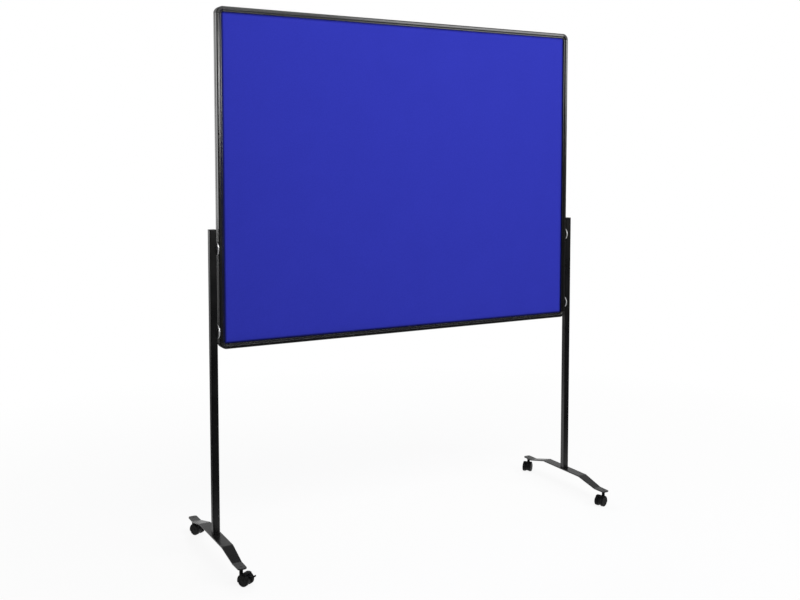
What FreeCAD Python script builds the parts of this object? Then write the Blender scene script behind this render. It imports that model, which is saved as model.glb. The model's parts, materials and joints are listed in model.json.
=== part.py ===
import FreeCAD, Part
import math
import os
from FreeCAD import Vector

# Mobile pinboard. Millimetres, +Z up, front towards -Y, origin on the floor midway between the two stands,
# in the middle plane of the board.

# Board
board_width = 1500.0
board_height = 1200.0
board_bottom = 750.0         # lower edge of the board above the floor
core_thickness = 10.0
felt_thickness = 2.0
felt_gap = 0.3               # felt edge to frame lip
panel_play = 0.2             # core face to channel wall
panel_edge_gap = 0.5         # core edge to channel floor

# Frame bar section: s runs inwards from the outer face, y is the depth
bar_width = 18.0
bar_depth = 38.0
bar_edge_radius = 4.0
land_width = 7.0             # front rib
lip_width = 2.5              # narrow land beside the felt
lip_setback = 4.5            # lip land below the rib
rib_edge_radius = 1.2        # rib to slope
lip_edge_radius = 0.6
channel_depth = 9.0
slot_mouth = 4.8             # clamp groove in the outer face
slot_lip = 2.0
slot_inside = 13.6
slot_depth = 6.5
chamber_wall = 2.4
chamber_start = 7.8
chamber_width = 4.4
corner_radius = 25.0
tongue_length = 30.0
tongue_play = 0.15
tongue_root = 1.0            # start of a tongue inside its corner

# Small countersunk screws that hold the corner tongues, from the rear
corner_screw_offset = 14.0
corner_screw_radius = 1.25
corner_screw_head_radius = 2.3
corner_screw_length = 6.5
corner_screw_sink = 1.4      # head below the top of the rib
screw_play = 0.05

# Stand
side_gap = 5.6               # frame to post
post_size = 25.0
post_wall = 2.0
post_corner_radius = 3.0
post_above_clamp = 69.0      # upper clamp to the top of the cap
cap_thickness = 3.0
cap_insert = 14.0
cap_play = 0.2
cap_edge_radius = 1.0
plug_height = 25.0
plug_play = 0.2
foot_screw_spacing = 12.0
foot_screw_radius = 3.0
foot_screw_head_radius = 5.6
foot_screw_reach = 16.0      # into the plug
foot_screw_play = 0.15

# Bent strip foot
strip_thickness = 5.0
strip_half_length = 295.0
strip_half_width = 20.5      # middle part
strip_knee_half_width = 16.5
strip_end_half_width = 15.5
strip_end_radius = 9.0
strip_rise = 24.0
strip_flat_half = 131.0      # to the upper bend
strip_knee = 235.0           # to the lower bend
strip_bend_radius = 18.0
strip_edge_radius = 0.8

# Clamps
clamp_low_above_board = 63.0
clamp_spacing = 293.0
disc_radius = 24.5
disc_side_gap = 0.3
disc_rim_radius = 1.6
pad_radius = 21.5
pad_thickness = 1.0
bolt_radius = 4.0
bolt_head_length = 18.0
bolt_head_thickness = 3.4
bolt_tail = 1.4              # bolt end beyond the nut
bolt_neck_width = 4.0        # flat neck in the groove
bolt_neck_length = 6.8
slide_gap = 0.4              # bolt head to groove
head_gap = 0.3               # bolt head to the back of the groove lip
run_play = 0.05              # running fit, radial
wall_hole_play = 0.2
nut_size = 13.0
nut_thickness = 6.5

# Casters
mount_height = 55.0          # floor to the underside of the strip ends
stem_inset = 19.0            # from the strip end
heading_front_left = -57.0   # trail directions at rest, degrees from +X
heading_rear_left = -60.0
heading_front_right = 200.0
heading_rear_right = 222.0
trail = 20.0
wheel_radius = 20.0
wheel_width = 12.5
wheel_space = 14.0           # between the two wheels
wheel_edge_radius = 2.5
wheel_rim = 4.0
wheel_dish_depth = 9.0
wheel_hub_radius = 6.0
wheel_face_step = 0.8
wheel_face_ring = 13.0
axle_radius = 3.0
axle_inset = 2.8             # axle end below the wheel face
bore_end_gap = 0.3
web_thickness = 12.0
web_round_radius = 17.5      # lower edge of the web, about the axle
fender_gap = 1.2
fender_thickness = 2.3
fender_width = 36.0
fender_edge_radius = 1.0
fender_rear_angle = 62.0     # angles about the axle, 0 to the rear, 90 up
fender_front_angle = 200.0
hub_radius = 6.3
hub_foot = 24.0
collar_radius = 6.2
collar_height = 2.5
stem_gap = 0.3
stem_thread_radius = 4.0
stem_thread_end = 0.5        # below the strip's top
stem_pin_radius = 3.5
stem_pin_end = 33.0
snap_height = 38.0
snap_groove = 2.0
snap_depth = 0.8
snap_play = 0.25

# Brake lever on the left casters
lever_pivot_along = 29.5     # from the stem axis
lever_pivot_height = 32.5
lever_pin_radius = 1.5
lever_pin_reach = 5.6
lever_barrel_radius = 3.2
lever_ear_radius = 5.0
lever_slot_gap = 0.3
lever_half_width = 3.0
lever_thickness = 3.0
lever_elbow_along = 39.5
lever_elbow_height = 29.5
lever_paddle_start = 41.3    # its front edge closes on both treads when pressed
lever_tip_along = 55.5
lever_tip_height = 34.5
lever_hook_height = 3.0      # upturned end of the paddle
lever_paddle_half_width = 8.5
lever_slot_reach = 5.2       # slot depth in front of the pivot
lever_slot_half_height = 7.0
lever_edge_radius = 0.8

# Worked out from the sizes above
half_width = board_width / 2
half_depth = bar_depth / 2
board_top = board_bottom + board_height
channel_half = core_thickness / 2 + panel_play
chamber_low = channel_half + chamber_wall
chamber_high = half_depth - chamber_wall
post_centre = half_width + side_gap + post_size / 2
tube_half = post_size / 2 - post_wall
tube_radius = post_corner_radius - post_wall
strip_end_top = mount_height + strip_thickness
strip_top = strip_end_top + strip_rise
clamp_heights = (board_bottom + clamp_low_above_board,
                 board_bottom + clamp_low_above_board + clamp_spacing)
post_top = clamp_heights[1] + post_above_clamp
stem_y = strip_half_length - stem_inset
disc_thickness = side_gap - 2 * disc_side_gap
wheel_inner = wheel_space / 2
wheel_outer = wheel_inner + wheel_width
fender_inner = wheel_radius + fender_gap
fender_outer = fender_inner + fender_thickness
hub_top = mount_height - collar_height - stem_gap
headings = {"front_left": heading_front_left, "rear_left": heading_rear_left,
            "front_right": heading_front_right, "rear_right": heading_rear_right}
y_axis = Vector(0, 1, 0)
z_axis = Vector(0, 0, 1)

os.makedirs("parts", exist_ok=True)


def save(name, solids):
    shape = solids[0] if len(solids) == 1 else Part.makeCompound(solids)
    whole = all(s.isValid() and s.ShapeType == "Solid" for s in solids)
    box = shape.BoundBox
    print("%-24s solids %d ok %s  %.1f x %.1f x %.1f" % (name, len(solids), whole,
                                                        box.XLength, box.YLength, box.ZLength))
    shape.exportStep("parts/%s.step" % name)


def clean(shape):
    merged = shape.removeSplitter()
    return merged.Solids[0]


def box_between(a, b):
    low = Vector(min(a.x, b.x), min(a.y, b.y), min(a.z, b.z))
    return Part.makeBox(abs(a.x - b.x), abs(a.y - b.y), abs(a.z - b.z), low)


def rod(start, end, radius):
    return Part.makeCylinder(radius, (end - start).Length, start, end - start)


def cone(start, end, start_radius, end_radius):
    return Part.makeCone(start_radius, end_radius, (end - start).Length, start, end - start)


def rounded_loop(corners, to_point):
    """Closed face through (a, b, radius) corners, each rounded by a tangent arc of its radius."""
    count = len(corners)
    marks = []
    for i, (a, b, radius) in enumerate(corners):
        before = Vector(*corners[i - 1][:2], 0) - Vector(a, b, 0)
        after = Vector(*corners[(i + 1) % count][:2], 0) - Vector(a, b, 0)
        here = Vector(a, b, 0)
        if radius <= 0:
            marks.append((here, None, here))
            continue
        before.normalize()
        after.normalize()
        half = before.getAngle(after) / 2
        reach = radius / math.tan(half)
        middle = before + after
        middle.normalize()
        centre = here + middle * (radius / math.sin(half))
        marks.append((here + before * reach, centre - middle * radius, here + after * reach))
    edges = []
    for i, (start, top, end) in enumerate(marks):
        if top is not None:
            edges.append(Part.Arc(*[to_point(p.x, p.y) for p in (start, top, end)]).toShape())
        following = marks[(i + 1) % count][0]
        if (following - end).Length > 1e-6:
            edges.append(Part.LineSegment(to_point(end.x, end.y),
                                          to_point(following.x, following.y)).toShape())
    return Part.Face(Part.Wire(Part.__sortEdges__(edges)))


def flat_plate(half_a, low, high, radius, y_from, y_to):
    """Upright plate with rounded corners, between two depths."""
    corners = [(-half_a, low, radius), (half_a, low, radius), (half_a, high, radius), (-half_a, high, radius)]
    face = rounded_loop(corners, lambda a, b: Vector(a, y_from, b))
    return face.extrude(Vector(0, y_to - y_from, 0))


def upright_bar(centre_x, half, radius, z_from, z_to):
    corners = [(-half, -half, radius), (half, -half, radius), (half, half, radius), (-half, half, radius)]
    face = rounded_loop(corners, lambda a, b: Vector(centre_x + a, b, z_from))
    return face.extrude(Vector(0, 0, z_to - z_from))


def bar_corners(sign):
    """Half of the bar's outline, from the outer face round the rib and the lip into the channel."""
    return [(0, sign * half_depth, bar_edge_radius),
            (bar_edge_radius + land_width, sign * half_depth, rib_edge_radius),
            (bar_width - lip_width, sign * (half_depth - lip_setback), lip_edge_radius),
            (bar_width, sign * (half_depth - lip_setback), lip_edge_radius),
            (bar_width, sign * channel_half, 0),
            (bar_width - channel_depth, sign * channel_half, 0)]


def groove_corners():
    mouth = slot_mouth / 2
    inside = slot_inside / 2
    return [(0, mouth, 0), (slot_lip, mouth, 0), (slot_lip, inside, 0), (slot_depth, inside, 0),
            (slot_depth, -inside, 0), (slot_lip, -inside, 0), (slot_lip, -mouth, 0), (0, -mouth, 0)]


def bar_section(to_point, grooved):
    groove = groove_corners() if grooved else []
    return rounded_loop(bar_corners(-1) + bar_corners(1)[::-1] + groove, to_point)


def chamber_section(to_point, sign, play):
    low = sign * (chamber_low + play)
    high = sign * (chamber_high - play)
    near = chamber_start + play
    far = chamber_start + chamber_width - play
    return rounded_loop([(near, low, 0), (far, low, 0), (far, high, 0), (near, high, 0)], to_point)


bar_half_x = half_width - corner_radius
bar_low_z = board_bottom + corner_radius
bar_high_z = board_top - corner_radius
sides = {
    "left": (lambda s, y: Vector(-half_width + s, y, bar_low_z), Vector(0, 0, bar_high_z - bar_low_z)),
    "right": (lambda s, y: Vector(half_width - s, y, bar_low_z), Vector(0, 0, bar_high_z - bar_low_z)),
    "bottom": (lambda s, y: Vector(-bar_half_x, y, board_bottom + s), Vector(2 * bar_half_x, 0, 0)),
    "top": (lambda s, y: Vector(-bar_half_x, y, board_top - s), Vector(2 * bar_half_x, 0, 0)),
}


def screw_seats():
    """Middle of each corner screw's head, in the rear rib, with the corner's name."""
    middle = chamber_start + chamber_width / 2
    seat_y = half_depth - corner_screw_sink
    seats = []
    for vertical, z_end, up in (("bottom", bar_low_z, 1), ("top", bar_high_z, -1)):
        for side, sign in (("left", -1), ("right", 1)):
            upright = Vector(sign * (half_width - middle), seat_y, z_end + up * corner_screw_offset)
            level_z = board_bottom + middle if up > 0 else board_top - middle
            level = Vector(sign * (bar_half_x - corner_screw_offset), seat_y, level_z)
            seats.append((upright, "%s_%s" % (vertical, side)))
            seats.append((level, "%s_%s" % (vertical, side)))
    return seats


def corner_screw(seat, play):
    head = corner_screw_head_radius - corner_screw_radius
    shank = rod(seat, seat - y_axis * (corner_screw_length + play), corner_screw_radius + play)
    flare = cone(seat, seat - y_axis * head, corner_screw_head_radius + play, corner_screw_radius + play)
    return shank.fuse(flare).removeSplitter().Solids[0]


def corner_screw_hole(seat):
    above = rod(seat, seat + y_axis * (2 * corner_screw_sink), corner_screw_head_radius + screw_play)
    return corner_screw(seat, screw_play).fuse(above)


def frame_bar(side):
    to_point, run = sides[side]
    bar = bar_section(to_point, True).extrude(run)
    for sign in (-1, 1):
        bar = bar.cut(chamber_section(to_point, sign, 0).extrude(run))
    for seat, corner in screw_seats():
        if bar.BoundBox.isInside(seat):
            bar = bar.cut(corner_screw_hole(seat))
    return clean(bar)


def frame_corner(vertical, side):
    """Quarter turn of the closed bar section, with tongues that plug into the chambers of both bars."""
    x_sign = -1 if side == "left" else 1
    z_sign = -1 if vertical == "bottom" else 1
    pivot = Vector(x_sign * bar_half_x, 0, bar_low_z if z_sign < 0 else bar_high_z)
    reach = tongue_length + tongue_root

    def on_upright(s, y):
        return Vector(pivot.x + x_sign * (corner_radius - s), y, pivot.z)

    def upright_root(s, y):
        return on_upright(s, y) + z_axis * (z_sign * tongue_root)

    def level_root(s, y):
        return Vector(pivot.x + x_sign * tongue_root, y, pivot.z + z_sign * (corner_radius - s))

    solid = bar_section(on_upright, False).revolve(pivot, y_axis, -90 * x_sign * z_sign)
    for sign in (-1, 1):
        upright = chamber_section(upright_root, sign, tongue_play).extrude(Vector(0, 0, -z_sign * reach))
        level = chamber_section(level_root, sign, tongue_play).extrude(Vector(-x_sign * reach, 0, 0))
        solid = solid.fuse(upright).fuse(level)
    for seat, corner in screw_seats():
        if corner == "%s_%s" % (vertical, side):
            solid = solid.cut(corner_screw_hole(seat))
    return clean(solid)


def build_board():
    inset = bar_width - channel_depth + panel_edge_gap
    core = flat_plate(half_width - inset, board_bottom + inset, board_top - inset, corner_radius - inset,
                      -core_thickness / 2, core_thickness / 2)
    save("panel_core", [core])
    inset = bar_width + felt_gap
    for name, sign in (("felt_front", -1), ("felt_rear", 1)):
        felt = flat_plate(half_width - inset, board_bottom + inset, board_top - inset, corner_radius - inset,
                          sign * core_thickness / 2, sign * (core_thickness / 2 + felt_thickness))
        save(name, [felt])
    for side in sides:
        save("frame_%s" % side, [frame_bar(side)])
    for vertical in ("bottom", "top"):
        for side in ("left", "right"):
            save("corner_%s_%s" % (vertical, side), [frame_corner(vertical, side)])
    save("corner_screws", [corner_screw(seat, 0) for seat, corner in screw_seats()])


def outwards(sign, reach, y, z):
    """Point at a distance outwards from the frame's outer face, on one side."""
    return Vector(sign * (half_width + reach), y, z)


def clamp_disc(sign, z):
    inner = outwards(sign, disc_side_gap + pad_thickness, 0, z)
    outer = outwards(sign, disc_side_gap + disc_thickness, 0, z)
    disc = rod(inner, outer, disc_radius)
    disc = disc.makeFillet(disc_rim_radius, [e for e in disc.Edges if len(e.Vertexes) == 1])
    return clean(disc.cut(rod(inner, outer, bolt_radius + run_play)))


def clamp_pad(sign, z):
    inner = outwards(sign, disc_side_gap, 0, z)
    outer = outwards(sign, disc_side_gap + pad_thickness, 0, z)
    return rod(inner, outer, pad_radius).cut(rod(inner, outer, bolt_radius + run_play)).Solids[0]


def clamp_bolt(sign, z):
    back = -(slot_lip + head_gap)
    half = slot_inside / 2 - slide_gap
    head = box_between(outwards(sign, back, -half, z - bolt_head_length / 2),
                       outwards(sign, back - bolt_head_thickness, half, z + bolt_head_length / 2))
    inside = back - bolt_head_thickness / 2
    neck = box_between(outwards(sign, inside, -bolt_neck_width / 2, z - bolt_neck_length / 2),
                       outwards(sign, side_gap, bolt_neck_width / 2, z + bolt_neck_length / 2))
    root = outwards(sign, disc_side_gap, 0, z)
    tip = outwards(sign, side_gap + post_wall + nut_thickness + bolt_tail, 0, z)
    return clean(head.fuse(neck).fuse(rod(root, tip, bolt_radius)))


def clamp_nut(sign, z):
    near = side_gap + post_wall
    block = box_between(outwards(sign, near, -nut_size / 2, z - nut_size / 2),
                        outwards(sign, near + nut_thickness, nut_size / 2, z + nut_size / 2))
    return block.cut(rod(outwards(sign, near, 0, z), outwards(sign, near + nut_thickness, 0, z),
                         bolt_radius + run_play)).Solids[0]


def post(sign):
    tube_top = post_top - cap_thickness
    tube = upright_bar(sign * post_centre, post_size / 2, post_corner_radius, strip_top, tube_top)
    tube = tube.cut(upright_bar(sign * post_centre, tube_half, tube_radius, strip_top, tube_top))
    for z in clamp_heights:
        tube = tube.cut(rod(outwards(sign, 0, 0, z), outwards(sign, side_gap + 2 * post_wall, 0, z),
                            bolt_radius + wall_hole_play))
    return clean(tube)


def post_cap(sign):
    tube_top = post_top - cap_thickness
    plate = upright_bar(sign * post_centre, post_size / 2, post_corner_radius, tube_top, post_top)
    rim = [e for e in plate.Edges if abs(e.BoundBox.ZMin - post_top) < 1e-6 and e.BoundBox.ZLength < 1e-6]
    plate = plate.makeFillet(cap_edge_radius, rim)
    insert = upright_bar(sign * post_centre, tube_half - cap_play, tube_radius,
                         tube_top - cap_insert, tube_top + cap_thickness / 2)
    return clean(plate.fuse(insert))


def foot_screw_points(sign):
    return [Vector(sign * post_centre, side * foot_screw_spacing / 2, strip_top - strip_thickness)
            for side in (-1, 1)]


def foot_screw(point, play):
    head = foot_screw_head_radius - foot_screw_radius
    reach = strip_thickness + foot_screw_reach + play
    shank = rod(point, point + z_axis * reach, foot_screw_radius + play)
    flare = cone(point, point + z_axis * head, foot_screw_head_radius + play, foot_screw_radius + play)
    return shank.fuse(flare).removeSplitter().Solids[0]


def post_plug(sign):
    plug = upright_bar(sign * post_centre, tube_half - plug_play, tube_radius,
                       strip_top, strip_top + plug_height)
    for point in foot_screw_points(sign):
        plug = plug.cut(foot_screw(point, run_play))
    return clean(plug)


def strip_profile():
    """Side view of the bent strip: its top line, and its underside one thickness below along the normal."""
    slope = math.atan2(strip_rise, strip_knee - strip_flat_half)
    shift = strip_thickness * math.tan(slope / 2)
    outer = strip_bend_radius + strip_thickness
    top = [(strip_half_length, strip_end_top, 0), (strip_knee, strip_end_top, strip_bend_radius),
           (strip_flat_half, strip_top, outer)]
    under = [(strip_flat_half - shift, strip_top - strip_thickness, strip_bend_radius),
             (strip_knee - shift, strip_end_top - strip_thickness, outer),
             (strip_half_length, strip_end_top - strip_thickness, 0)]
    mirrored_top = [(-y, z, r) for y, z, r in top[::-1]]
    mirrored_under = [(-y, z, r) for y, z, r in under[::-1]]
    return top + mirrored_top + mirrored_under + under


def strip_plan():
    quarter = [(strip_half_width, strip_flat_half, 0), (strip_knee_half_width, strip_knee, 0),
               (strip_end_half_width, strip_half_length, strip_end_radius)]
    right = [(x, -y, r) for x, y, r in quarter[::-1]] + quarter
    return right + [(-x, y, r) for x, y, r in right[::-1]]


def on_bend(edge):
    """Line across the strip, between a bend and a flat part."""
    box = edge.BoundBox
    return box.YLength < 1e-6 and box.ZLength < 1e-6 and abs(box.YMin) < strip_half_length - strip_end_radius


def upright(edge):
    """Short line through the strip's thickness at a change of its plan."""
    box = edge.BoundBox
    return box.XLength < 1e-6 and box.YLength < strip_thickness / 2 and box.ZLength > strip_thickness / 2


def foot(sign):
    centre = sign * post_centre
    side = rounded_loop(strip_profile(), lambda y, z: Vector(centre - strip_half_width, y, z))
    plan = rounded_loop(strip_plan(), lambda x, y: Vector(centre + x, y, 0))
    strip = side.extrude(Vector(2 * strip_half_width, 0, 0)).common(plan.extrude(z_axis * (2 * strip_top)))
    strip = clean(strip)
    rim = [e for e in strip.Edges if not on_bend(e) and not upright(e)]
    strip = strip.makeFillet(strip_edge_radius, rim)
    for point in foot_screw_points(sign):
        strip = strip.cut(foot_screw(point, foot_screw_play))
    for y in (-stem_y, stem_y):
        base = Vector(centre, y, mount_height)
        strip = strip.cut(rod(base, base + z_axis * strip_thickness, stem_thread_radius + run_play))
    return clean(strip)


def build_stands():
    for name, sign in (("left", -1), ("right", 1)):
        save("post_%s" % name, [post(sign)])
        save("post_cap_%s" % name, [post_cap(sign)])
        save("post_plug_%s" % name, [post_plug(sign)])
        save("foot_%s" % name, [foot(sign)])
        save("foot_screws_%s" % name, [foot_screw(point, 0) for point in foot_screw_points(sign)])
        save("clamp_bolts_%s" % name, [clamp_bolt(sign, z) for z in clamp_heights])
        save("clamp_nuts_%s" % name, [clamp_nut(sign, z) for z in clamp_heights])
        for level, z in zip(("lower", "upper"), clamp_heights):
            save("clamp_disc_%s_%s" % (name, level), [clamp_disc(sign, z)])
            save("clamp_pad_%s_%s" % (name, level), [clamp_pad(sign, z)])


# A caster is built with its stem on the Z axis and its axle one trail along +X, then turned and moved.
axle_point = Vector(trail, 0, wheel_radius)


def around_axle(profile):
    """Turns an (along the axle, radius) outline about the axle."""
    face = rounded_loop(profile, lambda a, r: axle_point + Vector(0, a, r))
    return face.revolve(axle_point, y_axis, 360)


def caster_wheel(sign):
    outer = wheel_outer
    dish = wheel_inner + wheel_dish_depth
    bore = axle_radius + run_play
    bore_end = outer - axle_inset + bore_end_gap
    rim_inside = wheel_radius - wheel_rim
    outline = [(wheel_inner, bore, 0), (wheel_inner, wheel_hub_radius, 0), (dish, wheel_hub_radius, 0),
               (dish, rim_inside, 0), (wheel_inner, rim_inside, 0),
               (wheel_inner, wheel_radius, wheel_edge_radius / 2), (outer, wheel_radius, wheel_edge_radius),
               (outer, wheel_face_ring, 0), (outer - wheel_face_step, wheel_face_ring - wheel_face_step, 0),
               (outer - wheel_face_step, 0, 0), (bore_end, 0, 0), (bore_end, bore, 0)]
    return around_axle([(sign * a, r, rounding) for a, r, rounding in outline]).Solids[0]


def caster_axle():
    reach = wheel_outer - axle_inset
    return rod(axle_point - y_axis * reach, axle_point + y_axis * reach, axle_radius)


def lever_pivot(y):
    return Vector(lever_pivot_along, y, lever_pivot_height)


def fender_sector(inner, outer, width):
    """Part of a ring about the axle, from the rear edge over the top to the front edge."""
    def arc(radius):
        marks = []
        for angle in (fender_rear_angle, (fender_rear_angle + fender_front_angle) / 2, fender_front_angle):
            turn = math.radians(angle)
            marks.append(axle_point + Vector(radius * math.cos(turn), -width / 2, radius * math.sin(turn)))
        return Part.Arc(*marks).toShape()

    rim = arc(outer)
    bottom = [arc(inner)] if inner > 0 else []
    ends = [v.Point for v in bottom[0].Vertexes] if inner > 0 else [axle_point - y_axis * (width / 2)] * 2
    walls = [Part.LineSegment(v.Point, end).toShape() for v, end in zip(rim.Vertexes, ends)]
    outline = Part.Wire(Part.__sortEdges__([rim] + bottom + walls))
    return Part.Face(outline).extrude(y_axis * width)


def stem_outline(side_play, end_play):
    """Stem pin with its snap groove, as (radius, height) corners; the plays widen it to the socket's size."""
    pin = stem_pin_radius + side_play
    groove = stem_pin_radius - snap_depth + end_play
    low = snap_height + end_play
    high = snap_height + snap_groove - end_play
    end = stem_pin_end - end_play
    return [(0, end, 0), (pin, end, 0), (pin, low, 0), (groove, low, 0), (groove, high, 0), (pin, high, 0)]


def caster_stem():
    collar_low = mount_height - collar_height
    top = strip_end_top - stem_thread_end
    outline = stem_outline(0, 0) + [(stem_pin_radius, collar_low, 0), (collar_radius, collar_low, 0),
                                     (collar_radius, mount_height, 0), (stem_thread_radius, mount_height, 0),
                                     (stem_thread_radius, top, 0), (0, top, 0)]
    face = rounded_loop(outline, lambda r, z: Vector(r, 0, z))
    return face.revolve(Vector(0, 0, 0), z_axis, 360).Solids[0]


def stem_socket():
    outline = stem_outline(run_play, snap_play)
    outline += [(stem_pin_radius + run_play, mount_height, 0), (0, mount_height, 0)]
    return rounded_loop(outline, lambda r, z: Vector(r, 0, z)).revolve(Vector(0, 0, 0), z_axis, 360)


def wheel_rooms():
    """Clear space for the two wheels, inside the fender."""
    rooms = []
    for sign in (-1, 1):
        start = axle_point + y_axis * (sign * web_thickness / 2)
        rooms.append(rod(start, start + y_axis * (sign * fender_width), fender_inner))
    return rooms


def caster_hood(braked):
    half_web = web_thickness / 2
    web_near = axle_point - y_axis * half_web
    web_far = axle_point + y_axis * half_web
    hood = fender_sector(0, fender_inner + fender_thickness / 2, web_thickness)
    hood = hood.fuse(rod(web_near, web_far, web_round_radius))
    if braked:
        hood = hood.fuse(rod(lever_pivot(-half_web), lever_pivot(half_web), lever_ear_radius))
    neck = rod(Vector(0, 0, hub_foot), Vector(0, 0, hub_top), hub_radius)
    for room in wheel_rooms():
        neck = neck.cut(room)
    fender = fender_sector(fender_inner, fender_outer, fender_width)
    arcs = [e for e in fender.Edges if hasattr(e.Curve, "Radius")]
    rims = [e for e in arcs if abs(e.Curve.Radius - fender_outer) < 1e-6]
    hood = hood.fuse(fender.makeFillet(fender_edge_radius, rims)).fuse(neck)
    hood = hood.cut(stem_socket())
    hood = hood.cut(rod(web_near, web_far, axle_radius + run_play / 2))
    if braked:
        half_slot = lever_half_width + lever_slot_gap
        slot_low = Vector(lever_pivot_along - lever_slot_reach, -half_slot,
                          lever_pivot_height - lever_slot_half_height)
        slot_high = Vector(lever_tip_along, half_slot, lever_pivot_height + lever_ear_radius)
        hood = hood.cut(box_between(slot_low, slot_high))
        hood = hood.cut(rod(lever_pivot(-half_web), lever_pivot(half_web), lever_pin_radius + run_play))
    return clean(hood)


def brake_lever():
    barrel = rod(lever_pivot(-lever_half_width), lever_pivot(lever_half_width), lever_barrel_radius)
    pin = rod(lever_pivot(-lever_pin_reach), lever_pivot(lever_pin_reach), lever_pin_radius)
    rise = (lever_tip_height - lever_elbow_height) / (lever_tip_along - lever_elbow_along)
    half = lever_thickness / 2

    def on_paddle(along, lift):
        return along, lever_elbow_height + (along - lever_elbow_along) * rise + lift

    def across(outline, half_width):
        face = rounded_loop(outline, lambda a, b: Vector(a, -half_width, b))
        return face.extrude(y_axis * (2 * half_width))

    overlap = lever_paddle_start + lever_thickness
    arm = across([(lever_pivot_along - half, lever_pivot_height - half, 0),
                  (*on_paddle(lever_elbow_along, -half), 0), (*on_paddle(overlap, -half), 0),
                  (*on_paddle(overlap, half), 0), (*on_paddle(lever_elbow_along + half, half), 0),
                  (lever_pivot_along + half, lever_pivot_height + half, 0)], lever_half_width)
    hook = half + lever_hook_height
    paddle = across([(*on_paddle(lever_paddle_start, -half), lever_edge_radius),
                     (*on_paddle(lever_tip_along, -half), lever_edge_radius),
                     (*on_paddle(lever_tip_along, hook), lever_edge_radius),
                     (*on_paddle(lever_tip_along - lever_thickness, hook), lever_edge_radius),
                     (*on_paddle(lever_tip_along - lever_thickness, half), lever_edge_radius),
                     (*on_paddle(lever_paddle_start, half), lever_edge_radius)], lever_paddle_half_width)
    return clean(barrel.fuse(pin).fuse(arm).fuse(paddle))


def build_casters():
    for depth, y in (("front", -stem_y), ("rear", stem_y)):
        for side, sign in (("left", -1), ("right", 1)):
            name = "%s_%s" % (depth, side)
            braked = side == "left"
            pieces = {"caster_stem": caster_stem(), "caster_hood": caster_hood(braked),
                      "caster_axle": caster_axle(), "wheel_a": caster_wheel(-1), "wheel_b": caster_wheel(1)}
            if braked:
                pieces["brake_lever"] = brake_lever()
            for piece, shape in pieces.items():
                shape.rotate(Vector(0, 0, 0), z_axis, headings[name])
                shape.translate(Vector(sign * post_centre, y, 0))
                save("%s_%s" % (piece, name), [shape])


build_board()
build_stands()
build_casters()
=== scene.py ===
import json
import math

import bmesh
import bpy
from mathutils import Matrix, Vector, noise

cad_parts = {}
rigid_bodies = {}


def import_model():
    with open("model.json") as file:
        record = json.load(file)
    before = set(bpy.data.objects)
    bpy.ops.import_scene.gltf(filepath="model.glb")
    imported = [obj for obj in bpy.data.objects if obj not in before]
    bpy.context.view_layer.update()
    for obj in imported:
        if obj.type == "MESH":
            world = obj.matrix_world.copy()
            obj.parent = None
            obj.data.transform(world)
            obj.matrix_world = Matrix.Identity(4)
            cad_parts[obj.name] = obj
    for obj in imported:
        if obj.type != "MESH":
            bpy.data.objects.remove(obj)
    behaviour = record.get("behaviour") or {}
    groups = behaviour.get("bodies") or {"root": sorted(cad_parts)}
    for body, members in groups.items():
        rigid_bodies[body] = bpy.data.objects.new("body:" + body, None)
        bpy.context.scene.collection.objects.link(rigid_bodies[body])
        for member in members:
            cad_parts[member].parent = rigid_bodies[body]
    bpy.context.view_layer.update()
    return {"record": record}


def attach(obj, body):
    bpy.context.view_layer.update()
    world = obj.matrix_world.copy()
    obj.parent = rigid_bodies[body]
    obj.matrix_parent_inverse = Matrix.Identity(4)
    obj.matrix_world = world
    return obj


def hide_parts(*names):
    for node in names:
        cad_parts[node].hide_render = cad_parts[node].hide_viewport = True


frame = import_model()
scene = bpy.context.scene
scene.view_settings.view_transform = "Standard"
joints = {joint["name"]: joint for joint in frame["record"]["behaviour"]["joints"]}
mm = 0.001


def at(x, y, z):
    return Vector((x * mm, y * mm, z * mm))


def finishPiece(name, bm, material, body, node, sharp=30):
    mesh = bpy.data.meshes.new(name)
    bm.to_mesh(mesh)
    bm.free()
    mesh.materials.append(material)
    mesh.shade_smooth()
    mesh.set_sharp_from_angle(angle=math.radians(sharp))
    piece = bpy.data.objects.new(name, mesh)
    scene.collection.objects.link(piece)
    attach(piece, body)
    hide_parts(node)
    return piece


def madeVerts(made):
    return [g for g in made["geom"] if isinstance(g, bmesh.types.BMVert)]


def outline(bm, points, rounds=()):
    # flat face through the points; each round is (radius, segments, which points)
    verts = [bm.verts.new(p) for p in points]
    bm.faces.new(verts)
    for radius, segments, picks in rounds:
        bmesh.ops.bevel(bm, geom=[verts[i] for i in picks], offset=radius * mm, offset_type="OFFSET",
                        segments=segments, profile=0.5, affect="VERTICES", material=-1)
    return next(iter(bm.faces))


def pull(bm, face, run):
    made = bmesh.ops.extrude_face_region(bm, geom=[face])
    bmesh.ops.translate(bm, vec=run, verts=madeVerts(made))
    bmesh.ops.recalc_face_normals(bm, faces=bm.faces)


def lathe(bm, points, centre, axis, steps):
    # a line of points turned fully round the axis
    verts = [bm.verts.new(p) for p in points]
    edges = [bm.edges.new(pair) for pair in zip(verts, verts[1:])]
    bmesh.ops.spin(bm, geom=verts + edges, cent=centre, axis=axis, angle=2 * math.pi, steps=steps,
                   use_merge=True)
    bmesh.ops.remove_doubles(bm, verts=bm.verts, dist=mm * mm)
    bmesh.ops.recalc_face_normals(bm, faces=bm.faces)


def softEdges(bm, radius, segments=2, angle=60):
    # rounds every edge that turns by more than the angle
    edges = [e for e in bm.edges if len(e.link_faces) == 2 and e.calc_face_angle(0) > math.radians(angle)]
    bmesh.ops.bevel(bm, geom=edges, offset=radius * mm, offset_type="OFFSET", segments=segments, profile=0.5,
                    affect="EDGES", material=-1, clamp_overlap=True)


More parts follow.
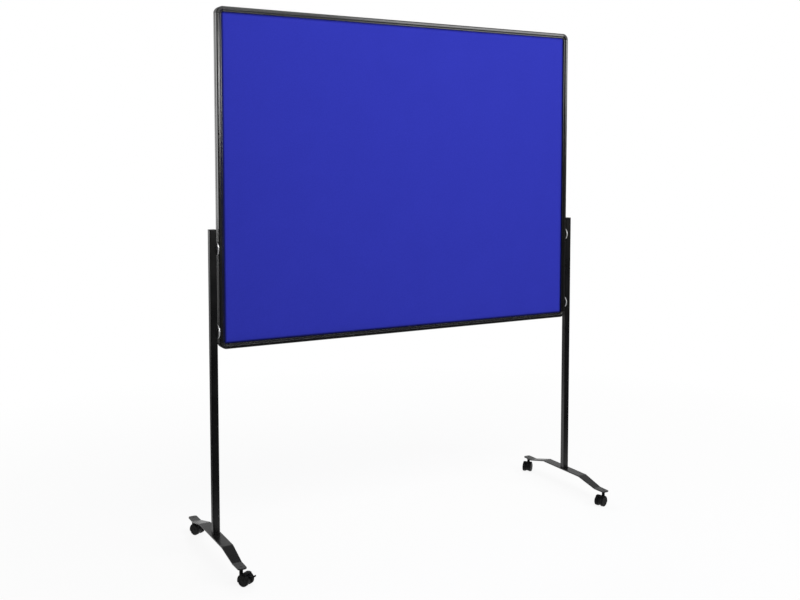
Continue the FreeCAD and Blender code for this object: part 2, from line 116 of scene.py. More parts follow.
def merge(bm, other):
    holder = bpy.data.meshes.new("holder")
    other.to_mesh(holder)
    other.free()
    bm.from_mesh(holder)
    bpy.data.meshes.remove(holder)


# shader nodes
def newGroup(name, inputs, outputs):
    tree = bpy.data.node_groups.new(name, "ShaderNodeTree")
    for label, kind in inputs:
        tree.interface.new_socket(label, in_out="INPUT", socket_type=kind)
    for label in outputs:
        tree.interface.new_socket(label, in_out="OUTPUT", socket_type="NodeSocketFloat")
    return tree, tree.nodes.new("NodeGroupInput"), tree.nodes.new("NodeGroupOutput")


def feed(tree, value, socket):
    # a plain value is set on the socket, another node's output is linked to it
    if isinstance(value, bpy.types.NodeSocket):
        tree.links.new(value, socket)
    else:
        socket.default_value = value


def addNoise(tree, vector, scale, detail, rough):
    node = tree.nodes.new("ShaderNodeTexNoise")
    for label, value in (("Vector", vector), ("Scale", scale), ("Detail", detail), ("Roughness", rough)):
        feed(tree, value, node.inputs[label])
    return node.outputs[0]


def addMath(tree, operation, a, b):
    node = tree.nodes.new("ShaderNodeMath")
    node.operation = operation
    feed(tree, a, node.inputs[0])
    feed(tree, b, node.inputs[1])
    return node.outputs[0]


def addRange(tree, value, fromLow, fromHigh, toLow=0.0, toHigh=1.0):
    node = tree.nodes.new("ShaderNodeMapRange")
    tree.links.new(value, node.inputs["Value"])
    labels = ("From Min", "From Max", "To Min", "To Max")
    for label, number in zip(labels, (fromLow, fromHigh, toLow, toHigh)):
        node.inputs[label].default_value = number
    return node.outputs[0]


def addColours(tree, factor, dark, light):
    node = tree.nodes.new("ShaderNodeMix")
    node.data_type = "RGBA"
    tree.links.new(factor, node.inputs["Factor"])
    feed(tree, dark, node.inputs["A"])
    feed(tree, light, node.inputs["B"])
    return node.outputs["Result"]


def addParts(tree, vector):
    node = tree.nodes.new("ShaderNodeSeparateXYZ")
    tree.links.new(vector, node.inputs[0])
    return node.outputs


def addPlace(tree):
    return tree.nodes.new("ShaderNodeTexCoord").outputs["Object"]


# powder coat and moulded skin: a fine pebble, and a slow change of gloss
coatLook = {"pebbleDetail": 2.0, "pebbleRough": 0.4, "cloudDetail": 4.0, "cloudRough": 0.6,
            "patchFrom": (0.3, 0.7), "depth": 0.03}


def makeCoatGrain():
    look = coatLook
    tree, start, end = newGroup("coatGrain", [("Vector", "NodeSocketVector"), ("Pebble", "NodeSocketFloat"),
                                              ("Cloud", "NodeSocketFloat")], ["Height", "Patch"])
    place = start.outputs["Vector"]
    pebble = addNoise(tree, place, start.outputs["Pebble"], look["pebbleDetail"], look["pebbleRough"])
    cloud = addNoise(tree, place, start.outputs["Cloud"], look["cloudDetail"], look["cloudRough"])
    tree.links.new(pebble, end.inputs["Height"])
    tree.links.new(addRange(tree, cloud, *look["patchFrom"]), end.inputs["Patch"])
    return tree


# needled fibres: short strands in three directions, clumps, and a slow cloud of shade
fibreLook = {"turns": (12, 71, 133), "squeeze": (1.0, 1.0, 0.12),
             "strand": (2600.0, 2.0, 0.6),  # scale, detail, roughness
             "clump": (260.0, 3.0, 0.6), "cloud": (7.0, 3.0, 0.55),
             "strandHeight": 0.7, "clumpHeight": 0.5, "strandFrom": (0.45, 0.8), "strandShade": 0.6,
             "clumpFrom": (0.3, 0.7), "clumpShade": 0.4, "cloudFrom": (0.3, 0.7)}


def makeFeltFibres():
    look = fibreLook
    tree, start, end = newGroup("feltFibres", [("Vector", "NodeSocketVector")],
                                ["Height", "Strands", "Cloud"])
    place = start.outputs["Vector"]
    strands = []
    for turn in look["turns"]:
        mapping = tree.nodes.new("ShaderNodeMapping")
        mapping.inputs["Rotation"].default_value = (0, math.radians(turn), 0)
        mapping.inputs["Scale"].default_value = look["squeeze"]
        tree.links.new(place, mapping.inputs["Vector"])
        strands.append(addNoise(tree, mapping.outputs[0], *look["strand"]))
    web = addMath(tree, "MAXIMUM", addMath(tree, "MAXIMUM", strands[0], strands[1]), strands[2])
    clump = addNoise(tree, place, *look["clump"])
    cloud = addNoise(tree, place, *look["cloud"])
    height = addMath(tree, "ADD", addMath(tree, "MULTIPLY", web, look["strandHeight"]),
                     addMath(tree, "MULTIPLY", clump, look["clumpHeight"]))
    shade = addMath(tree, "ADD", addRange(tree, web, *look["strandFrom"], 0.0, look["strandShade"]),
                    addRange(tree, clump, *look["clumpFrom"], 0.0, look["clumpShade"]))
    tree.links.new(height, end.inputs["Height"])
    tree.links.new(shade, end.inputs["Strands"])
    tree.links.new(addRange(tree, cloud, *look["cloudFrom"]), end.inputs["Cloud"])
    return tree


coatGrain = makeCoatGrain()
feltFibres = makeFeltFibres()


def newMaterial(name, group):
    material = bpy.data.materials.new(name)
    material.use_nodes = True
    tree = material.node_tree
    effect = tree.nodes.new("ShaderNodeGroup")
    effect.node_tree = group
    tree.links.new(addPlace(tree), effect.inputs["Vector"])
    return material, tree, tree.nodes["Principled BSDF"], effect


def addBump(tree, shader, height, strength, distance):
    bump = tree.nodes.new("ShaderNodeBump")
    bump.inputs["Strength"].default_value = strength
    bump.inputs["Distance"].default_value = distance * mm
    tree.links.new(height, bump.inputs["Height"])
    tree.links.new(bump.outputs[0], shader.inputs["Normal"])


def coated(name, look):
    material, tree, shader, effect = newMaterial(name, coatGrain)
    effect.inputs["Pebble"].default_value = look["pebble"]
    effect.inputs["Cloud"].default_value = look["cloud"]
    patch = effect.outputs["Patch"]
    colour = addColours(tree, patch, (*look["dark"], 1), (*look["light"], 1))
    tree.links.new(colour, shader.inputs["Base Color"])
    tree.links.new(addRange(tree, patch, 0.0, 1.0, *look["rough"]), shader.inputs["Roughness"])
    shader.inputs["Metallic"].default_value = look.get("metal", 0.0)
    shader.inputs["Specular IOR Level"].default_value = look.get("specular", 0.5)
    addBump(tree, shader, effect.outputs["Height"], look["bump"], coatLook["depth"])
    return material


frameBlack = coated("frameBlack", {
    "pebble": 1400.0, "cloud": 9.0, "dark": (0.0045, 0.0045, 0.005), "light": (0.0065, 0.0065, 0.007),
    "rough": (0.21, 0.26), "bump": 0.12, "specular": 0.6})
standBlack = coated("standBlack", {
    "pebble": 1100.0, "cloud": 12.0, "dark": (0.003, 0.003, 0.0032), "light": (0.0045, 0.0045, 0.0048),
    "rough": (0.26, 0.34), "bump": 0.2, "specular": 0.4})
cornerPlastic = coated("cornerPlastic", {
    "pebble": 1800.0, "cloud": 30.0, "dark": (0.004, 0.004, 0.0044), "light": (0.006, 0.006, 0.0064),
    "rough": (0.38, 0.48), "bump": 0.3})
casterPlastic = coated("casterPlastic", {
    "pebble": 2200.0, "cloud": 60.0, "dark": (0.0022, 0.0022, 0.0024), "light": (0.004, 0.004, 0.0043),
    "rough": (0.40, 0.52), "bump": 0.3, "specular": 0.15})
padRubber = coated("padRubber", {
    "pebble": 1500.0, "cloud": 40.0, "dark": (0.010, 0.010, 0.010), "light": (0.016, 0.016, 0.016),
    "rough": (0.7, 0.85), "bump": 0.4})
screwSteel = coated("screwSteel", {
    "pebble": 900.0, "cloud": 80.0, "dark": (0.36, 0.36, 0.37), "light": (0.48, 0.48, 0.49),
    "rough": (0.28, 0.42), "bump": 0.15, "metal": 1.0})
discSilver = coated("discSilver", {
    "pebble": 1600.0, "cloud": 45.0, "dark": (0.70, 0.70, 0.71), "light": (0.80, 0.80, 0.81),
    "rough": (0.30, 0.42), "bump": 0.12, "metal": 0.6})
stemDark = coated("stemDark", {
    "pebble": 1300.0, "cloud": 70.0, "dark": (0.006, 0.006, 0.0065), "light": (0.010, 0.010, 0.0105),
    "rough": (0.40, 0.52), "bump": 0.15})
coreBoard = coated("coreBoard", {
    "pebble": 500.0, "cloud": 25.0, "dark": (0.34, 0.26, 0.17), "light": (0.46, 0.36, 0.24),
    "rough": (0.75, 0.9), "bump": 0.5})

# the last colour and the edge ranges paint the frame's shadow onto the felt along its sides and bottom
feltLook = {"dark": (0.022, 0.028, 0.35), "light": (0.034, 0.042, 0.47), "pressed": (0.006, 0.008, 0.09),
            "cloudShare": 0.10, "bump": 0.35, "depth": 0.35, "rough": 0.95, "specular": 0.08,
            "sheen": 0.02, "sheenRough": 0.5, "sheenTint": (0.45, 0.5, 1.0),
            "paintedShadeLeft": (-0.7270, -0.7215), "paintedShadeRight": (0.7260, 0.7310),  # metres, as the shader reads them
            "paintedShadeLow": (0.7710, 0.7770), "rightShade": 0.4}


def makeFeltBlue():
    look = feltLook
    material, tree, shader, effect = newMaterial("feltBlue", feltFibres)
    strands = addMath(tree, "MULTIPLY", effect.outputs["Strands"], 1.0 - look["cloudShare"])
    cloud = addMath(tree, "MULTIPLY", effect.outputs["Cloud"], look["cloudShare"])
    shade = addMath(tree, "ADD", strands, cloud)
    fibre = addColours(tree, shade, (*look["dark"], 1), (*look["light"], 1))
    # painted shadow of the frame's lip: the felt is drawn darker along the sides and the bottom, fainter on
    # the right
    parts = addParts(tree, addPlace(tree))
    sides = addMath(tree, "MINIMUM", addRange(tree, parts["X"], *look["paintedShadeLeft"]),
                    addRange(tree, parts["X"], *look["paintedShadeRight"], 1.0, look["rightShade"]))
    paintedShadeMask = addMath(tree, "MINIMUM", sides, addRange(tree, parts["Z"], *look["paintedShadeLow"]))
    tree.links.new(addColours(tree, paintedShadeMask, (*look["pressed"], 1), fibre), shader.inputs["Base Color"])
    shader.inputs["Roughness"].default_value = look["rough"]
    shader.inputs["Specular IOR Level"].default_value = look["specular"]
    shader.inputs["Sheen Weight"].default_value = look["sheen"]
    shader.inputs["Sheen Roughness"].default_value = look["sheenRough"]
    shader.inputs["Sheen Tint"].default_value = (*look["sheenTint"], 1)
    addBump(tree, shader, effect.outputs["Height"], look["bump"], look["depth"])
    return material


feltBlue = makeFeltBlue()
print("finishes made")

slotFinish = {"felt_blue": feltBlue, "core_board": coreBoard, "frame_black": frameBlack,
              "corner_plastic": cornerPlastic, "stand_black": standBlack, "screw_steel": screwSteel,
              "stem_dark": stemDark, "disc_silver": discSilver, "pad_rubber": padRubber,
              "caster_plastic": casterPlastic}
for subpart in frame["record"]["subparts"]:
    node = bpy.data.objects[subpart["node"]]
    node.data.materials.clear()
    node.data.materials.append(slotFinish[subpart["material_slot"]])
print("CAD pieces dressed")

# felt: glued flat to the core, its cut edge rolled back
feltSheet = {"halfWidth": 731.7, "low": 768.3, "high": 1931.7, "corner": 6.7, "cornerSteps": 5, "face": 7.0,
             "edgeBack": 1.9, "edgeRoll": 1.1, "rollSteps": 3, "cells": (74, 58), "uneven": 0.10,
             "waves": 5.0, "sharp": 60}


def makeFelt(name, node, sign):
    look = feltSheet
    middle = (look["high"] + look["low"]) / 2
    columns, rows = look["cells"]
    bm = bmesh.new()
    bmesh.ops.create_grid(bm, x_segments=columns, y_segments=rows, size=1.0)
    for v in bm.verts:
        v.co = at(v.co.x * look["halfWidth"], sign * look["face"], middle + v.co.y * (look["high"] - middle))
    corners = [v for v in bm.verts if len(v.link_edges) == 2]
    bmesh.ops.bevel(bm, geom=corners, offset=look["corner"] * mm, offset_type="OFFSET",
                    segments=look["cornerSteps"], profile=0.5, affect="VERTICES", material=-1)
    for v in bm.verts:
        ripple = noise.noise(Vector((v.co.x * look["waves"], sign, v.co.z * look["waves"])))
        v.co.y -= sign * look["uneven"] * mm * (0.5 + 0.5 * ripple)
    rim = [e for e in bm.edges if e.is_boundary]
    made = bmesh.ops.extrude_edge_only(bm, edges=rim)
    bmesh.ops.translate(bm, vec=at(0, -sign * look["edgeBack"], 0), verts=madeVerts(made))
    bmesh.ops.recalc_face_normals(bm, faces=bm.faces)
    if sum(f.normal.y * f.calc_area() for f in bm.faces) * sign < 0:
        bmesh.ops.reverse_faces(bm, faces=bm.faces)
    softEdges(bm, look["edgeRoll"], look["rollSteps"])
    felt = finishPiece(name, bm, feltBlue, "board", node, look["sharp"])


makeFelt("feltFront", "felt_front", -1)
makeFelt("feltRear", "felt_rear", 1)
print("felt sheets made")

# screws: countersunk, with a hexagon socket
screw = {"corner": {"head": 2.3, "shank": 1.25, "length": 6.5, "socket": 1.15, "deep": 0.9, "chamfer": 0.12},
         "foot": {"head": 5.6, "shank": 3.0, "length": 21.0, "socket": 2.3, "deep": 2.0, "chamfer": 0.25},
         "sides": 36, "cornerY": 17.6,
         "upright": (740.0, 789.0, 1911.0), "level": (711.0, 760.0, 1940.0),  # out from the middle, low, high
         "footX": 768.1, "footY": 6.0, "footZ": 79.0}


def addRing(bm, sides, radius):
    before = len(bm.edges)
    turn = Matrix.Rotation(math.radians(-90), 4, "Z")  # first corner on X
    bmesh.ops.create_circle(bm, segments=sides, radius=radius * mm, matrix=turn)
    bm.edges.ensure_lookup_table()
    return bm.edges[before:]


def sinkRing(bm, edges, rings):
    # the ring is drawn through each next radius and height, and closed at the last one
    for (radius, height), (nextRadius, nextHeight) in zip(rings, rings[1:]):
        made = bmesh.ops.extrude_edge_only(bm, edges=edges)
        grow = nextRadius / radius
        bmesh.ops.scale(bm, vec=(grow, grow, 1), verts=madeVerts(made))
        bmesh.ops.translate(bm, vec=at(0, 0, nextHeight - height), verts=madeVerts(made))
        edges = [g for g in made["geom"] if isinstance(g, bmesh.types.BMEdge)]
    bmesh.ops.edgeloop_fill(bm, edges=edges)


def addScrew(bm, seat, out, look):
    rim = look["head"] - look["chamfer"]
    part = bmesh.new()
    socketEdges = addRing(part, 6, look["socket"])
    rimEdges = addRing(part, screw["sides"], rim)
    bmesh.ops.triangle_fill(part, use_beauty=True, edges=socketEdges + rimEdges)
    sinkRing(part, socketEdges, [(look["socket"], 0), (look["socket"], -look["deep"])])
    sinkRing(part, rimEdges, [(rim, 0), (look["head"], -look["chamfer"]),
                              (look["shank"], look["shank"] - look["head"]),
                              (look["shank"], -look["length"])])
    bmesh.ops.recalc_face_normals(part, faces=part.faces)
    turn = Vector(out).to_track_quat("Z", "Y").to_matrix().to_4x4()
    bmesh.ops.transform(part, matrix=Matrix.Translation(seat) @ turn, verts=part.verts)
    merge(bm, part)


cornerScrews = bmesh.new()
for across, low, high in (screw["upright"], screw["level"]):
    for sign in (-1, 1):
        for height in (low, high):
            addScrew(cornerScrews, at(sign * across, screw["cornerY"], height), (0, 1, 0), screw["corner"])
finishPiece("cornerScrews", cornerScrews, screwSteel, "board", "corner_screws")
for side, sign in (("left", -1), ("right", 1)):
    footScrews = bmesh.new()
    for ahead in (-1, 1):
        seat = at(sign * screw["footX"], ahead * screw["footY"], screw["footZ"])
        addScrew(footScrews, seat, (0, 0, -1), screw["foot"])
    finishPiece("footScrews" + side.title(), footScrews, screwSteel, "stands",
                "foot_screws_" + side)
print("screws made")

# clamps: turned silver discs with a soft rim, and a dark pad on the frame side
clampDisc = {"radius": 24.5, "near": 1.3, "far": 5.3, "rim": 1.4, "rimAngles": (90, 65, 40, 15, 0),
             "backEdge": 0.6, "bore": 4.05, "dish": 0.5, "dishFloor": 9.0, "dishRim": 10.0, "steps": 64,
             "frameFace": 750.0}
clampPad = {"radius": 21.5, "near": 0.3, "edge": 0.3}


def turnClamp(line, sign, height):
    # each point is (out from the frame, out from the bolt)
    face = clampDisc["frameFace"]
    bm = bmesh.new()
    points = [at(sign * (face + out), 0, height + r) for out, r in line]
    lathe(bm, points, at(sign * face, 0, height), (1, 0, 0), clampDisc["steps"])
    return bm


def makeClamp(side, level):
    body = "clamp_%s_%s" % (side, level)
    title = side.title() + level.title()
    sign = -1 if side == "left" else 1
    height = joints[body + "_turn"]["pos_m"][2] / mm
    near, far, bore = clampDisc["near"], clampDisc["far"], clampDisc["bore"]
    rim, radius, back, dish = clampDisc["rim"], clampDisc["radius"], clampDisc["backEdge"], clampDisc["dish"]
    rolled = [(far - rim + rim * math.sin(math.radians(a)), radius - rim + rim * math.cos(math.radians(a)))
              for a in clampDisc["rimAngles"]]
    line = [(near, bore), (far - dish, bore), (far - dish, clampDisc["dishFloor"]),
            (far, clampDisc["dishRim"])]
    line += rolled + [(near + back, radius), (near, radius - back), (near, bore)]
    finishPiece("clampDisc" + title, turnClamp(line, sign, height), discSilver, body,
                "clamp_disc_%s_%s" % (side, level))
    pad, padNear, edge = clampPad["radius"], clampPad["near"], clampPad["edge"]
    line = [(near, bore), (padNear, bore), (padNear, pad - edge), (padNear + edge, pad), (near, pad),
            (near, bore)]
    finishPiece("clampPad" + title, turnClamp(line, sign, height), padRubber, body,
                "clamp_pad_%s_%s" % (side, level))


for side in ("left", "right"):
    for level in ("lower", "upper"):
        makeClamp(side, level)
print("clamps made")

# casters: modelled with the stem on the Z axis and the axle one trail along X, then set at their swivels
caster = {"trail": 20.0, "radius": 20.0}
casterWheel = {"inner": 7.0, "outer": 19.5, "bore": 3.05, "boreEnd": 17.0, "shoulder": 2.5,
               "shoulderAngles": (0, 20, 40, 60, 80, 90), "rimInside": 16.0, "rimEdge": 0.6,
               "treadEdge": (1.3, 0.4), "dish": 16.0, "hub": 6.0, "hubEdge": 0.5, "ring": 13.2, "step": 0.8,
               "cap": 5.0, "capFoot": 0.6, "capEdge": (0.2, 0.8), "steps": 56}
casterHood = {"web": 6.0, "webRound": 17.5, "webLap": 0.6, "webEdge": 0.4, "lapSteps": 40, "roundSteps": 56,
              "fenderIn": 21.2, "fenderOut": 23.5, "fenderHalf": 18.0, "from": 62.0, "to": 200.0, "edge": 1.0,
              "edgeSteps": 4, "innerEdge": 0.3, "endEdge": 0.5, "fenderSteps": 30,
              "neck": 6.3, "neckLow": 24.0, "neckTop": 52.2, "neckFoot": 0.8, "neckEdge": 0.6, "pin": 3.55,
              "pinEnd": 32.7, "neckSteps": 48,
              "ear": 5.0, "earNear": 3.3, "earEdge": 0.4, "earSteps": 40, "slotFrom": (24.3, 31.0),
              "slotTo": (38.5, 24.3)}
brakeLever = {"pivot": (29.5, 32.5), "barrel": 3.2, "pin": 1.5, "pinReach": 5.6, "pinEdge": 0.3,
              "pinSteps": 32, "half": 3.0, "edge": 0.4, "paddleHalf": 8.5, "paddleFrom": 41.3,
              "paddleEdge": 0.6, "paddleSteps": 3,
              "top": [(30.2, 35.6), (35.0, 33.4), (40.4, 31.4), (44.0, 32.3), (49.0, 34.0), (52.3, 35.2),
                      (52.7, 37.6), (53.4, 38.8), (54.6, 38.9), (55.4, 38.0)],
              "under": [(55.4, 33.2), (49.0, 31.1), (44.0, 29.5), (41.3, 28.7), (39.2, 28.2), (34.0, 29.9),
                        (28.6, 29.5)]}


def setCaster(bm, corner):
    stem = joints["swivel_%s_turn" % corner]["pos_m"]
    axle = joints["wheel_a_%s_spin" % corner]["axis"]
    turn = Matrix.Rotation(math.atan2(-axle[0], axle[1]), 4, "Z")
    bmesh.ops.transform(bm, matrix=Matrix.Translation((stem[0], stem[1], 0)) @ turn, verts=bm.verts)


def axleSpot(along, radius, angle=90.0):
    # along the axle, and out from it; angle 0 points away from the stem, 90 up
    return at(caster["trail"] + radius * math.cos(math.radians(angle)), along,
              caster["radius"] + radius * math.sin(math.radians(angle)))


def makeWheel(letter, depth, side):
    look = casterWheel
    sign = -1 if letter == "a" else 1
    radius, shoulder, inner, outer = caster["radius"], look["shoulder"], look["inner"], look["outer"]
    hub, dish, rim, cap, step = look["hub"], look["dish"], look["rimInside"], look["cap"], look["step"]
    hubEdge, rimEdge = look["hubEdge"], look["rimEdge"]
    treadEdge, treadMid = look["treadEdge"]
    capDrop, capEdge = look["capEdge"]
    line = [(look["boreEnd"], 0), (look["boreEnd"], look["bore"]), (inner, look["bore"]),
            (inner, hub - hubEdge), (inner + hubEdge, hub), (dish, hub), (dish, rim), (inner + rimEdge, rim),
            (inner, rim + rimEdge), (inner, radius - treadEdge), (inner + treadMid, radius - treadMid),
            (inner + treadEdge, radius)]
    line += [(outer - shoulder + shoulder * math.sin(math.radians(a)),
              radius - shoulder + shoulder * math.cos(math.radians(a))) for a in look["shoulderAngles"]]
    line += [(outer, look["ring"]), (outer - step, look["ring"] - step),
             (outer - step, cap + look["capFoot"]), (outer - capDrop, cap), (outer, cap - capEdge),
             (outer, 0)]
    bm = bmesh.new()
    lathe(bm, [axleSpot(sign * a, r) for a, r in line], axleSpot(0, 0), (0, 1, 0), look["steps"])
    corner = "%s_%s" % (depth, side)
    setCaster(bm, corner)
    node = "wheel_%s_%s" % (letter, corner)
    finishPiece("wheel" + letter.upper() + depth.title() + side.title(), bm, casterPlastic, node,
                node)


def webPlate(near, far, cutBack):
    # full under the fender, a smaller round elsewhere
    look = casterHood
    sweep = look["to"] - look["from"]
    lap, rest = look["lapSteps"], look["roundSteps"]
    arc = [(look["fenderIn"] + look["webLap"], look["from"] + i * sweep / lap) for i in range(lap + 1)]
    arc += [(look["webRound"], look["to"] + i * (360 - sweep) / rest) for i in range(rest + 1)]
    plate = bmesh.new()
    outline(plate, [axleSpot(near, r, a) for r, a in arc])
    if cutBack:
        start, end = look["slotFrom"], look["slotTo"]
        away = Vector((start[1] - end[1], 0, end[0] - start[0]))
        bmesh.ops.bisect_plane(plate, geom=plate.verts[:] + plate.edges[:] + plate.faces[:],
                               plane_co=at(start[0], 0, start[1]), plane_no=away, clear_outer=True)
    pull(plate, next(iter(plate.faces)), at(0, far - near, 0))
    softEdges(plate, look["webEdge"])
    return plate


def makeEar(sign):
    # round cheek about the lever's pin
    look = casterHood
    pivot = at(brakeLever["pivot"][0], 0, brakeLever["pivot"][1])
    near, far, edge, radius = look["earNear"], look["web"], look["earEdge"], look["ear"]
    line = [(near, 0), (near, radius - edge), (near + edge, radius), (far - edge, radius),
            (far, radius - edge), (far, 0)]
    ear = bmesh.new()
    lathe(ear, [pivot + at(0, sign * a, r) for a, r in line], pivot, (0, 1, 0), look["earSteps"])
    return ear


def makeHood(depth, side):
    look = casterHood
    # fender over both wheels
    bm = bmesh.new()
    half, within, outside = look["fenderHalf"], look["fenderIn"], look["fenderOut"]
    section = [(-half, within), (half, within), (half, outside), (-half, outside)]
    face = outline(bm, [axleSpot(a, r, look["from"]) for a, r in section],
                   [(look["edge"], look["edgeSteps"], (2, 3)), (look["innerEdge"], 1, (0, 1))])
    bmesh.ops.spin(bm, geom=[face] + face.verts[:] + face.edges[:], cent=axleSpot(0, 0), axis=(0, 1, 0),
                   angle=math.radians(look["from"] - look["to"]), steps=look["fenderSteps"])
    bmesh.ops.recalc_face_normals(bm, faces=bm.faces)
    softEdges(bm, look["endEdge"])
    # web between the wheels: solid, or two cheeks and a cut-back middle where a lever swings
    if side == "left":
        merge(bm, webPlate(-look["earNear"], look["earNear"], True))
        for sign in (-1, 1):
            merge(bm, webPlate(sign * look["earNear"], sign * look["web"], False))
            merge(bm, makeEar(sign))
    else:
        merge(bm, webPlate(-look["web"], look["web"], False))
    # neck round the stem
    radius, low, top = look["neck"], look["neckLow"], look["neckTop"]
    foot, edge = look["neckFoot"], look["neckEdge"]
    line = [(0, low), (radius - foot, low), (radius, low + foot), (radius, top - edge), (radius - edge, top),
            (look["pin"], top), (look["pin"], look["pinEnd"]), (0, look["pinEnd"])]
    neck = bmesh.new()
    lathe(neck, [at(r, 0, z) for r, z in line], (0, 0, 0), (0, 0, 1), look["neckSteps"])
    merge(bm, neck)
    corner = "%s_%s" % (depth, side)
    setCaster(bm, corner)
    finishPiece("casterHood" + depth.title() + side.title(), bm, casterPlastic, "swivel_" + corner,
                "caster_hood_" + corner)


def makeLever(depth, side):
    look = brakeLever
    line = look["top"] + look["under"]
    bm = bmesh.new()
    face = outline(bm, [at(x, -look["half"], z) for x, z in line])
    pull(bm, face, at(0, 2 * look["half"], 0))
    softEdges(bm, look["edge"])
    blade = [(x, z) for x, z in line if x >= look["paddleFrom"]]
    paddle = bmesh.new()
    face = outline(paddle, [at(x, -look["paddleHalf"], z) for x, z in blade])
    pull(paddle, face, at(0, 2 * look["paddleHalf"], 0))
    softEdges(paddle, look["paddleEdge"], look["paddleSteps"])
    merge(bm, paddle)
    pivot = at(look["pivot"][0], 0, look["pivot"][1])
    edge = look["pinEdge"]
    for radius, reach in ((look["barrel"], look["half"]), (look["pin"], look["pinReach"])):
        line = [(-reach, 0), (-reach, radius - edge), (edge - reach, radius), (reach - edge, radius),
                (reach, radius - edge), (reach, 0)]
        barrel = bmesh.new()
        lathe(barrel, [pivot + at(0, a, r) for a, r in line], pivot, (0, 1, 0), look["pinSteps"])
        merge(bm, barrel)
    corner = "%s_%s" % (depth, side)
    setCaster(bm, corner)
    finishPiece("brakeLever" + depth.title() + side.title(), bm, casterPlastic, "brake_" + corner,
                "brake_lever_" + corner)


for depth in ("front", "rear"):
    for side in ("left", "right"):
        makeHood(depth, side)
        makeWheel("a", depth, side)
        makeWheel("b", depth, side)
        if side == "left":
            makeLever(depth, side)
print("casters made")

view = {"place": (-1.86575, -3.59696, 1.44899), "turn": (86.0316, -0.3835, -32.2327), "lens": 46.749,
        "sensor": 36.0, "shift": (-0.1191, -0.09375), "reach": 200.0}


def makeCamera():
    camera = bpy.data.objects.new("camera", bpy.data.cameras.new("camera"))
    camera.location = view["place"]
    camera.rotation_euler = [math.radians(a) for a in view["turn"]]
    camera.data.lens = view["lens"]
    camera.data.sensor_width = view["sensor"]
    camera.data.shift_x, camera.data.shift_y = view["shift"]
    camera.data.clip_end = view["reach"]
    scene.collection.objects.link(camera)
    scene.camera = camera


lamps = {
    "topLamp": {"place": (-0.2, -2.2, 3.8), "target": (0.0, 0.0, 1.6), "size": (3.0, 1.4), "power": 67},
    "rightLamp": {"place": (2.3, -3.0, 2.42), "target": (0.0, 0.0, 1.5), "size": (2.2, 1.3), "power": 58},
    "frontLamp": {"place": (0.2, -3.0, 1.88), "target": (-0.7, 0.0, 1.7), "size": (0.5, 0.5), "power": 12},
    "backLamp": {"place": (0.6, 2.8, 2.7), "target": (0.0, 0.0, 1.3), "size": (2.2, 1.4), "power": 60,
                 "mirrored": False}}


def areaLamp(name, look):
    lamp = bpy.data.lights.new(name, "AREA")
    lamp.shape = "RECTANGLE"
    lamp.size, lamp.size_y = look["size"]
    lamp.energy = look["power"]
    holder = bpy.data.objects.new(name, lamp)
    holder.location = look["place"]
    aim = Vector(look["target"]) - Vector(look["place"])
    holder.rotation_euler = aim.to_track_quat("-Z", "Y").to_euler()
    holder.visible_glossy = look.get("mirrored", True)
    scene.collection.objects.link(holder)


# what reflections see of the room: a white backdrop behind, brighter to the left, dim in front and above
room = {"ambient": 0.20, "dim": 0.08, "backFrom": (-0.25, 0.40), "highFrom": (0.05, 0.55), "highLevel": 0.25,
        "leftFrom": (-0.28, 0.05), "leftLevel": 1.8, "rightFrom": (0.35, 0.60), "rightLevel": 0.62}


def makeRoom():
    world = bpy.data.worlds.new("whiteStudio")
    scene.world = world
    world.use_nodes = True
    tree = world.node_tree
    background = tree.nodes["Background"]
    path = tree.nodes.new("ShaderNodeLightPath").outputs
    towards = addParts(tree, tree.nodes.new("ShaderNodeTexCoord").outputs["Generated"])
    behind = addRange(tree, towards["Y"], *room["backFrom"])
    height = addMath(tree, "MAXIMUM", addRange(tree, towards["Z"], *room["highFrom"], 1.0, room["highLevel"]),
                     addRange(tree, towards["X"], *room["rightFrom"], 0.0, room["rightLevel"]))
    leftward = addRange(tree, towards["X"], *room["leftFrom"], room["leftLevel"], 1.0)
    backdrop = addMath(tree, "MULTIPLY", addMath(tree, "MULTIPLY", behind, height), leftward)
    mirrored = addMath(tree, "MAXIMUM", backdrop, room["dim"])
    glossy = addMath(tree, "MAXIMUM", path["Is Glossy Ray"], path["Is Transmission Ray"])
    lit = addMath(tree, "MAXIMUM", addMath(tree, "MULTIPLY", glossy, mirrored),
                  addRange(tree, glossy, 0.0, 1.0, room["ambient"], 0.0))
    tree.links.new(addMath(tree, "MAXIMUM", lit, path["Is Camera Ray"]), background.inputs["Strength"])
    background.inputs["Color"].default_value = (1, 1, 1, 1)


# floor: white to the camera, with a faint shadow; reflections see a white sheet under the stands,
# a dark floor round it, and a paler one far behind
ground = {"half": 14.0, "cells": 24, "rough": 0.9, "thrown": 0.72, "seen": 0.94, "whiteFrom": (1.0, 3.0),
          "whiteShare": (0.89, 1.0), "left": (-1.02, -0.78), "front": (-0.65, -0.2), "rear": (1.2, 2.4),
          "far": (1.4, 6.2), "farLevel": (0.03, 0.5)}


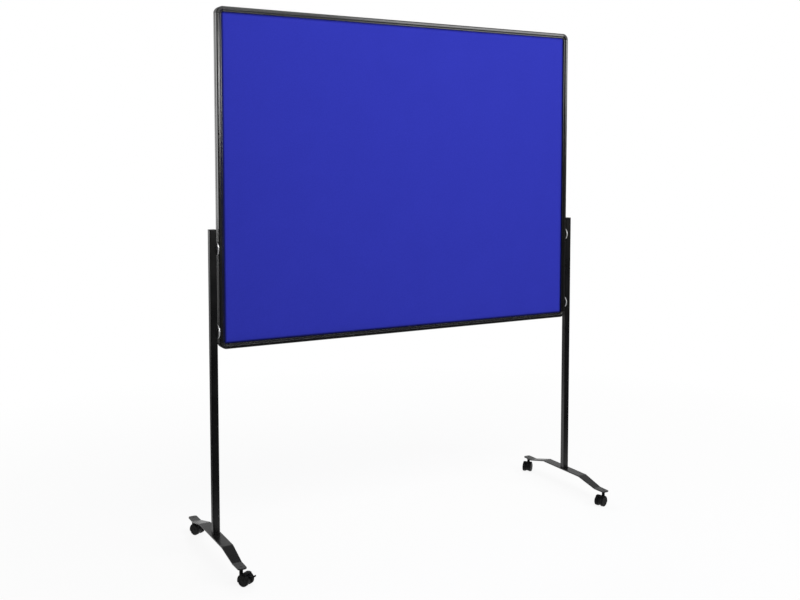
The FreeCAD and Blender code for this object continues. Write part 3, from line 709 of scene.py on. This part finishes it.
def makeFloorMaterial():
    material = bpy.data.materials.new("paleFloor")
    material.use_nodes = True
    tree = material.node_tree
    shader = tree.nodes["Principled BSDF"]
    glow = tree.nodes.new("ShaderNodeEmission")
    mixer = tree.nodes.new("ShaderNodeMixShader")
    path = tree.nodes.new("ShaderNodeLightPath").outputs
    place = addPlace(tree)
    parts = addParts(tree, place)
    spread = tree.nodes.new("ShaderNodeVectorMath")
    spread.operation = "LENGTH"
    tree.links.new(place, spread.inputs[0])
    # paler to the camera than in the light that it throws back
    pale = addRange(tree, path["Is Camera Ray"], 0.0, 1.0, ground["thrown"], ground["seen"])
    tree.links.new(pale, shader.inputs["Base Color"])
    shader.inputs["Roughness"].default_value = ground["rough"]
    white = addRange(tree, spread.outputs["Value"], *ground["whiteFrom"], *ground["whiteShare"])
    seen = addMath(tree, "MULTIPLY", path["Is Camera Ray"], white)
    sheet = addMath(tree, "MINIMUM", addRange(tree, parts["X"], *ground["left"]),
                    addMath(tree, "MINIMUM", addRange(tree, parts["Y"], *ground["front"]),
                            addRange(tree, parts["Y"], *ground["rear"], 1.0, 0.0)))
    far = addRange(tree, parts["Y"], *ground["far"], *ground["farLevel"])
    mirrored = addMath(tree, "MAXIMUM", sheet, far)
    bright = addMath(tree, "MAXIMUM", path["Is Camera Ray"], mirrored)
    tree.links.new(bright, glow.inputs["Strength"])
    tree.links.new(addMath(tree, "MAXIMUM", seen, path["Is Glossy Ray"]), mixer.inputs[0])
    tree.links.new(shader.outputs[0], mixer.inputs[1])
    tree.links.new(glow.outputs[0], mixer.inputs[2])
    tree.links.new(mixer.outputs[0], tree.nodes["Material Output"].inputs["Surface"])
    return material


def makeFloor():
    bm = bmesh.new()
    bmesh.ops.create_grid(bm, x_segments=ground["cells"], y_segments=ground["cells"], size=ground["half"])
    mesh = bpy.data.meshes.new("floor")
    bm.to_mesh(mesh)
    bm.free()
    mesh.materials.append(makeFloorMaterial())
    floor = bpy.data.objects.new("floor", mesh)
    scene.collection.objects.link(floor)


makeCamera()
for name, look in lamps.items():
    areaLamp(name, look)
makeRoom()
makeFloor()
print("studio set")
